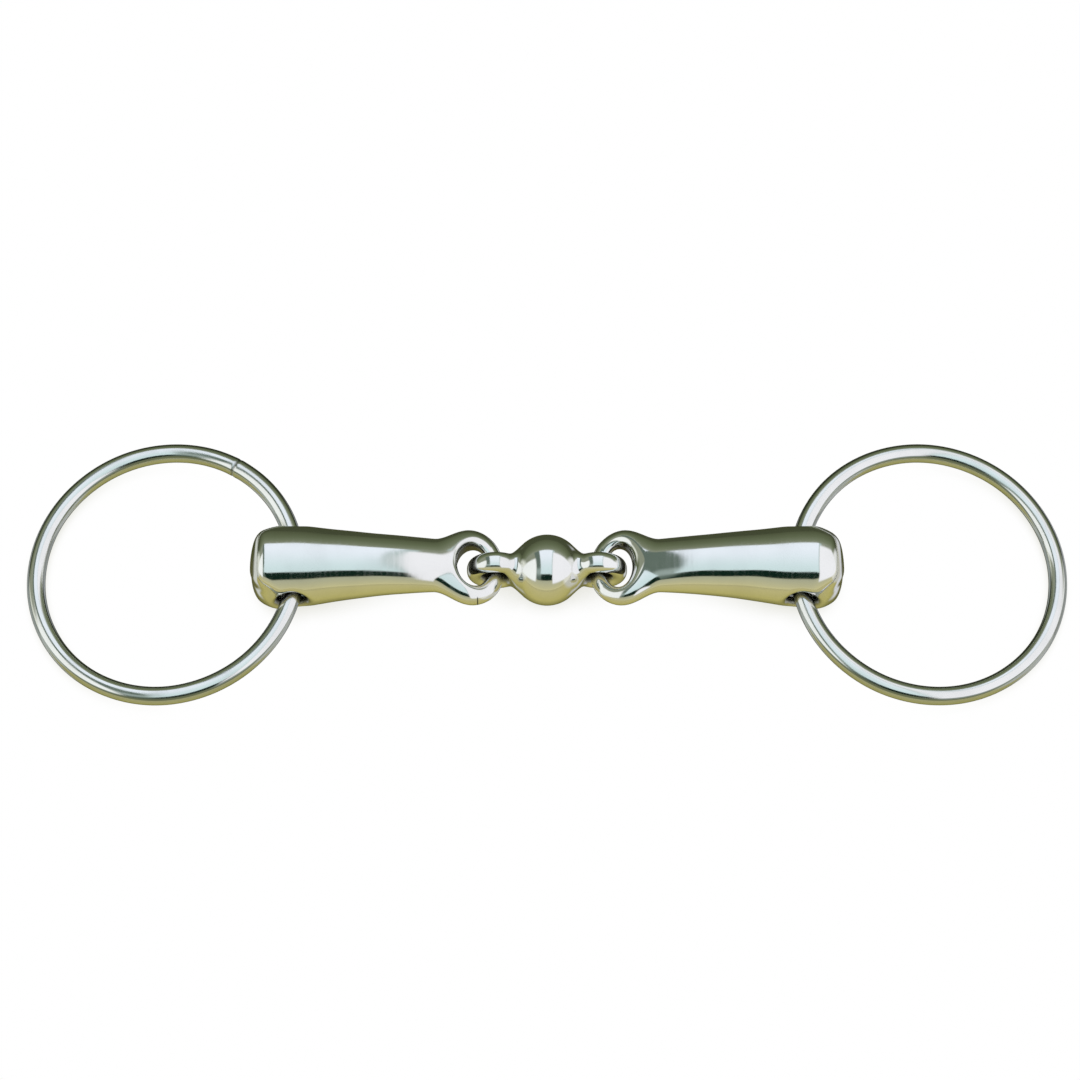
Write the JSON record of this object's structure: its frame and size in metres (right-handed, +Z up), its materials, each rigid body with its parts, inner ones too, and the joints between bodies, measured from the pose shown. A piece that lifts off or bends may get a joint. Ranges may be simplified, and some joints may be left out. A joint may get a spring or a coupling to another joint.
{
  "type": "loose-ring snaffle bit",
  "caption": "Polished steel loose-ring snaffle bit: thick tapered mouthpiece arms chained eye through eye to a ball link, each carrying a round-wire ring through its domed end.",
  "frame": {"origin": "on the surface the bit lies on, straight under the middle of the ball link", "axes": "+X along the mouthpiece towards the right ring, +Y across the rings in the plane they lie in, +Z up from the surface"},
  "size_m": [0.2674, 0.0724, 0.022],
  "materials": {
    "mouthpiece_steel": "polished",
    "link_steel": "polished",
    "ring_steel": "polished"
  },
  "bodies": {
    "center_link": {"center_link": "link_steel"},
    "left_arm": {"left_mouthpiece_arm": "mouthpiece_steel"},
    "right_arm": {"right_mouthpiece_arm": "mouthpiece_steel"},
    "left_ring": {"left_ring": "ring_steel"},
    "right_ring": {"right_ring": "ring_steel"}
  },
  "joints": [
    {"name": "left_fold", "type": "hinge", "parent": "center_link", "child": "left_arm", "pos_m": [-0.0132, 0, 0.0091], "axis": [0, 1, 0], "range_deg": [-42, 42]},
    {"name": "right_fold", "type": "hinge", "parent": "center_link", "child": "right_arm", "pos_m": [0.0132, 0, 0.0091], "axis": [0, -1, 0], "range_deg": [-42, 42]},
    {"name": "left_ring_swivel", "type": "hinge", "parent": "left_arm", "child": "left_ring", "pos_m": [-0.06506, 0, 0.01113], "axis": [0, 1, 0], "range_deg": [-83, 97]},
    {"name": "right_ring_swivel", "type": "hinge", "parent": "right_arm", "child": "right_ring", "pos_m": [0.06506, 0, 0.01113], "axis": [0, -1, 0], "range_deg": [-83, 97]}
  ]
}
